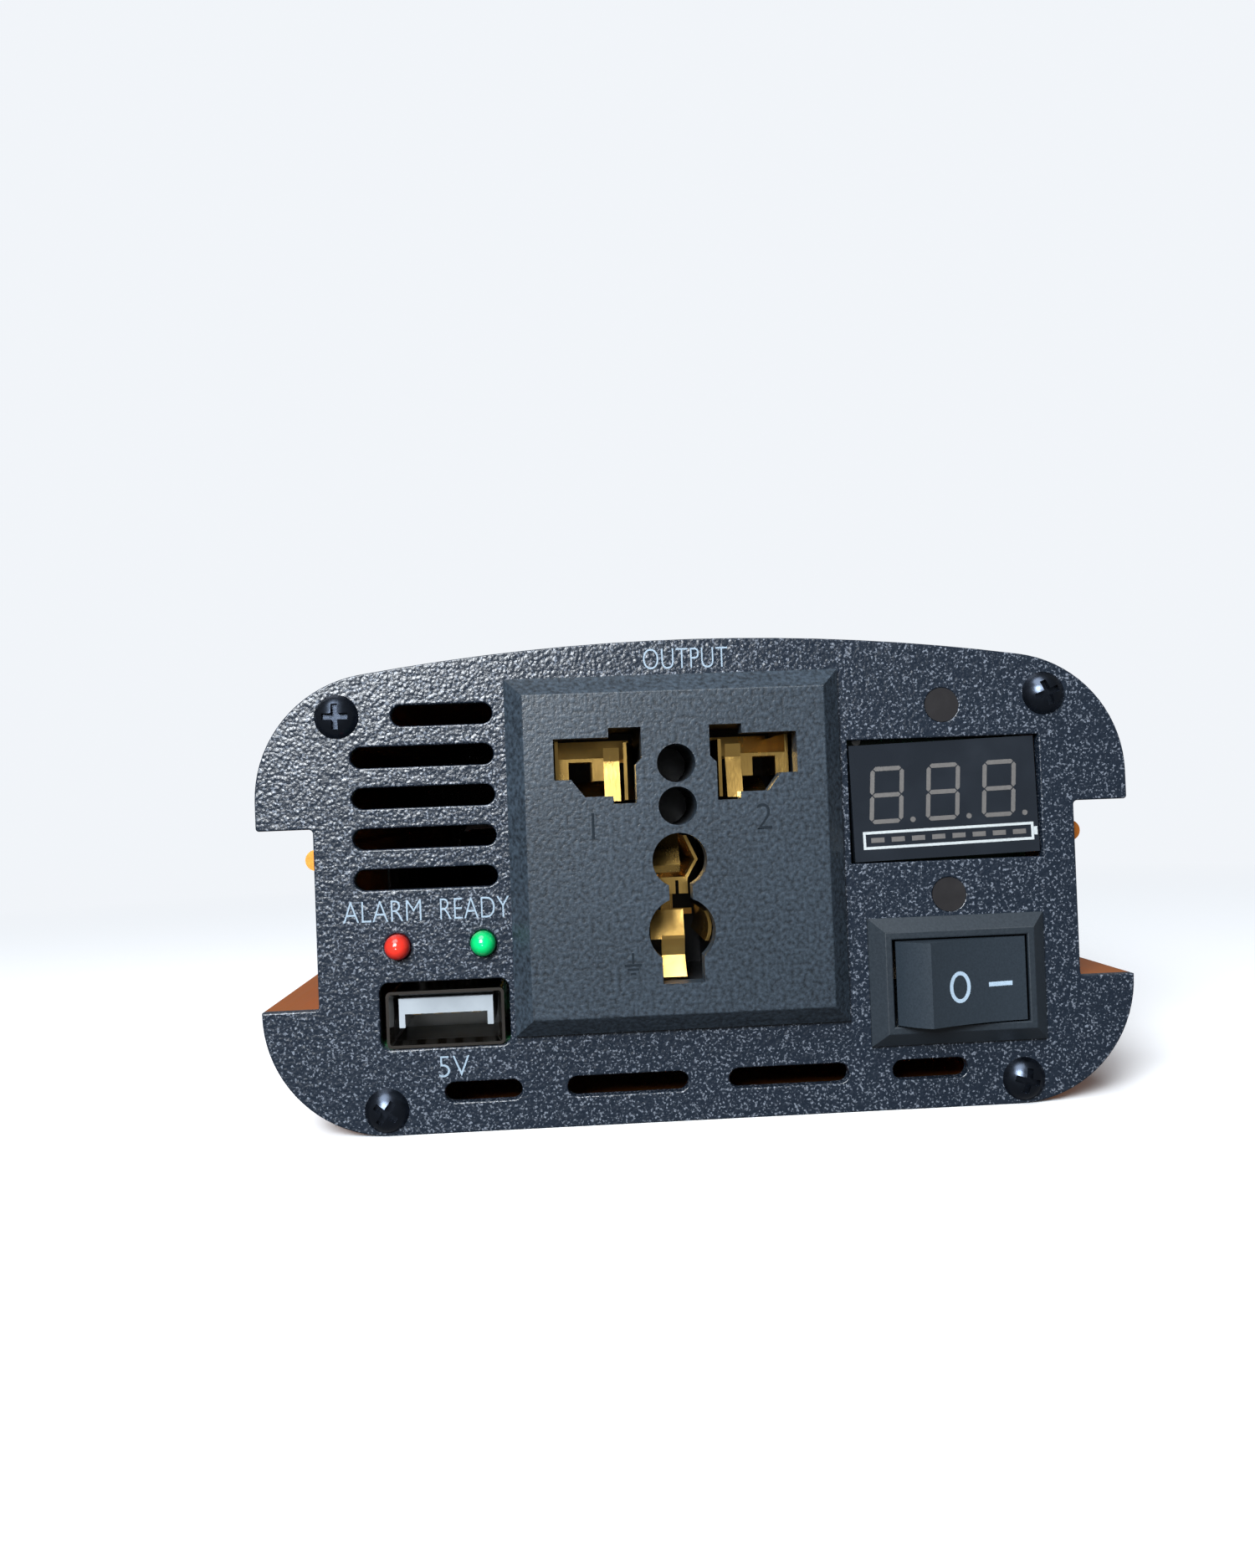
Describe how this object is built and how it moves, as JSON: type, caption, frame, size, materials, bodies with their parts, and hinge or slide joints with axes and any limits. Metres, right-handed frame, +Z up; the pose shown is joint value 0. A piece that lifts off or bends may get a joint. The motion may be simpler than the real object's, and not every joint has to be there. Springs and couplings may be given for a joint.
{
  "type": "power inverter",
  "caption": "Small car power inverter: orange extruded case, black textured end panels, universal mains socket, USB outlet, lamps, digital display, rocker switch, fan and battery posts.",
  "frame": {"origin": "middle of the case's flat underside, on the surface that it rests on", "axes": "+Z up, -Y out of the front panel with the outlets, +Y out of the rear panel, +X to the right as seen from the front"},
  "size_m": [0.1042, 0.189, 0.0572],
  "materials": {
    "case_anodised": "orange anodised extrusion",
    "panel_powder": "black textured powder coat",
    "black_screw": "black oxide, slightly glossy",
    "socket_plastic": "black fine-textured moulding",
    "inner_plastic": "plain black moulding",
    "contact_brass": "bright sprung brass",
    "contact_gold": "gold-flashed",
    "post_brass": "turned brass",
    "switch_plastic": "black moulding",
    "rocker_plastic": "black satin moulding",
    "display_black": "glossy black face",
    "board_green": "green solder mask",
    "smoky_plastic": "smoky translucent",
    "usb_steel": "nickel-plated",
    "usb_white": "white",
    "lamp_red": "diffused red",
    "lamp_green": "diffused green",
    "sheet_clear": "pale insulating film",
    "package_black": "moulded package",
    "pad_grey": "grey silicone",
    "clamp_steel": "zinc-plated",
    "ferrite": "dark ferrite",
    "winding_tape": "yellow tape over the winding",
    "can_sleeve": "dark sleeve",
    "choke_yellow": "coated core",
    "copper_wire": "enamelled copper",
    "fuse_body": "amber",
    "fan_plastic": "black",
    "guard_steel": "bright plated wire",
    "terminal_red": "red moulding",
    "terminal_black": "black moulding",
    "lead_sleeve": "soft sleeve",
    "ribbon_grey": "grey"
  },
  "bodies": {
    "chassis": {"battery_leads": "lead_sleeve", "blade_fuses": "fuse_body", "bottom_shell": "case_anodised", "buzzer": "package_black", "capacitors": "can_sleeve", "choke_core": "choke_yellow", "choke_winding": "copper_wire", "clamp_bars": "clamp_steel", "clamp_screws": "clamp_steel", "control_chips": "package_black", "display_board": "board_green", "display_module": "display_black", "display_posts": "smoky_plastic", "earth_contact": "contact_brass", "fan_frame": "fan_plastic", "fan_guard": "guard_steel", "fan_screws": "black_screw", "fan_stator": "copper_wire", "fault_lamp": "lamp_red", "front_panel": "panel_powder", "fuse_holders": "inner_plastic", "hex_nuts": "clamp_steel", "insulating_pads": "pad_grey", "insulation_sheet": "sheet_clear", "lamp_board": "board_green", "main_board": "board_green", "negative_insulator": "terminal_black", "panel_screws": "black_screw", "pole_contacts": "contact_brass", "positive_insulator": "terminal_red", "post_studs": "post_brass", "power_lamp": "lamp_green", "power_transistors": "package_black", "rear_panel": "panel_powder", "ribbons": "ribbon_grey", "signal_leads": "lead_sleeve", "socket_back_cover": "inner_plastic", "socket_faceplate": "socket_plastic", "socket_housing": "inner_plastic", "socket_leads": "lead_sleeve", "switch_housing": "switch_plastic", "switch_terminals": "contact_brass", "top_shell": "case_anodised", "transformer_bobbins": "inner_plastic", "transformer_cores": "ferrite", "transformer_windings": "winding_tape", "usb_board": "board_green", "usb_contacts": "contact_gold", "usb_header": "inner_plastic", "usb_shell": "usb_steel", "usb_tongue": "usb_white"},
    "rocker": {"switch_rocker": "rocker_plastic", "switch_plunger": "inner_plastic"},
    "contact_arm": {"switch_arm": "contact_brass"},
    "fan": {"fan_rotor": "fan_plastic", "fan_shaft": "clamp_steel"},
    "positive_clamp": {"positive_washer": "post_brass"},
    "positive_knob": {"positive_cap": "terminal_red"},
    "negative_clamp": {"negative_washer": "post_brass"},
    "negative_knob": {"negative_cap": "terminal_black"}
  },
  "joints": [
    {"name": "power_rocker", "type": "hinge", "parent": "chassis", "child": "rocker", "pos_m": [0.03025, -0.0789, 0.0154], "axis": [0, 0, 1], "range_deg": [-30, 0]},
    {"name": "contact_arm_tilt", "type": "hinge", "parent": "chassis", "child": "contact_arm", "pos_m": [0.03025, -0.068, 0.0154], "axis": [0, 0, 1], "range_deg": [0, 16]},
    {"name": "fan_spin", "type": "hinge", "parent": "chassis", "child": "fan", "pos_m": [0.018, 0.075, 0.029], "axis": [0, 1, 0], "continuous": true},
    {"name": "positive_knob_travel", "type": "slide", "parent": "chassis", "child": "positive_clamp", "axis": [0, 1, 0], "range_m": [0, 0.003]},
    {"name": "positive_knob_turn", "type": "hinge", "parent": "positive_clamp", "child": "positive_knob", "pos_m": [-0.036, 0.0925, 0.029], "axis": [0, 1, 0], "range_deg": [0, 1080.01]},
    {"name": "negative_knob_travel", "type": "slide", "parent": "chassis", "child": "negative_clamp", "axis": [0, 1, 0], "range_m": [0, 0.003]},
    {"name": "negative_knob_turn", "type": "hinge", "parent": "negative_clamp", "child": "negative_knob", "pos_m": [-0.015, 0.0925, 0.029], "axis": [0, 1, 0], "range_deg": [0, 1080.01]}
  ],
  "couplings": [
    {"joint": "contact_arm_tilt", "follows": "power_rocker", "ratio": -0.53333},
    {"joint": "positive_knob_turn", "follows": "positive_knob_travel", "rad_per_m": 6283.2},
    {"joint": "negative_knob_turn", "follows": "negative_knob_travel", "rad_per_m": 6283.2}
  ]
}
